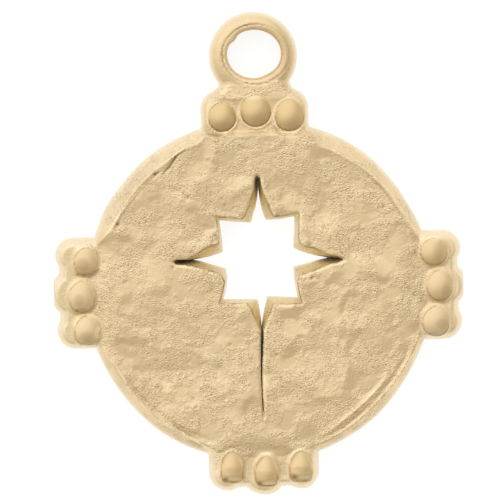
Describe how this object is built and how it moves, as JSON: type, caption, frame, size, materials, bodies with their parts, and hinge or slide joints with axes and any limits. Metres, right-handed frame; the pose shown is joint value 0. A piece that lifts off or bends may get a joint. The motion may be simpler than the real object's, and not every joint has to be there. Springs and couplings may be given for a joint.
{
  "type": "star pendant",
  "caption": "Round hammered brass pendant with a pierced star, groups of round beads around its edge and a plain loop to hang it by.",
  "frame": {"origin": "middle of the pendant's outline, on the plane of its flat back, so the pendant lies on its back with z = 0 at the surface it rests on", "axes": "+X across the face to the right, +Y along the face towards the hanging loop, +Z out of the hammered face"},
  "size_m": [0.0292, 0.0342, 0.0022],
  "materials": {
    "gold": "satin gold plate over cast brass"
  },
  "bodies": {
    "root": {"pendant": "gold"}
  },
  "joints": []
}
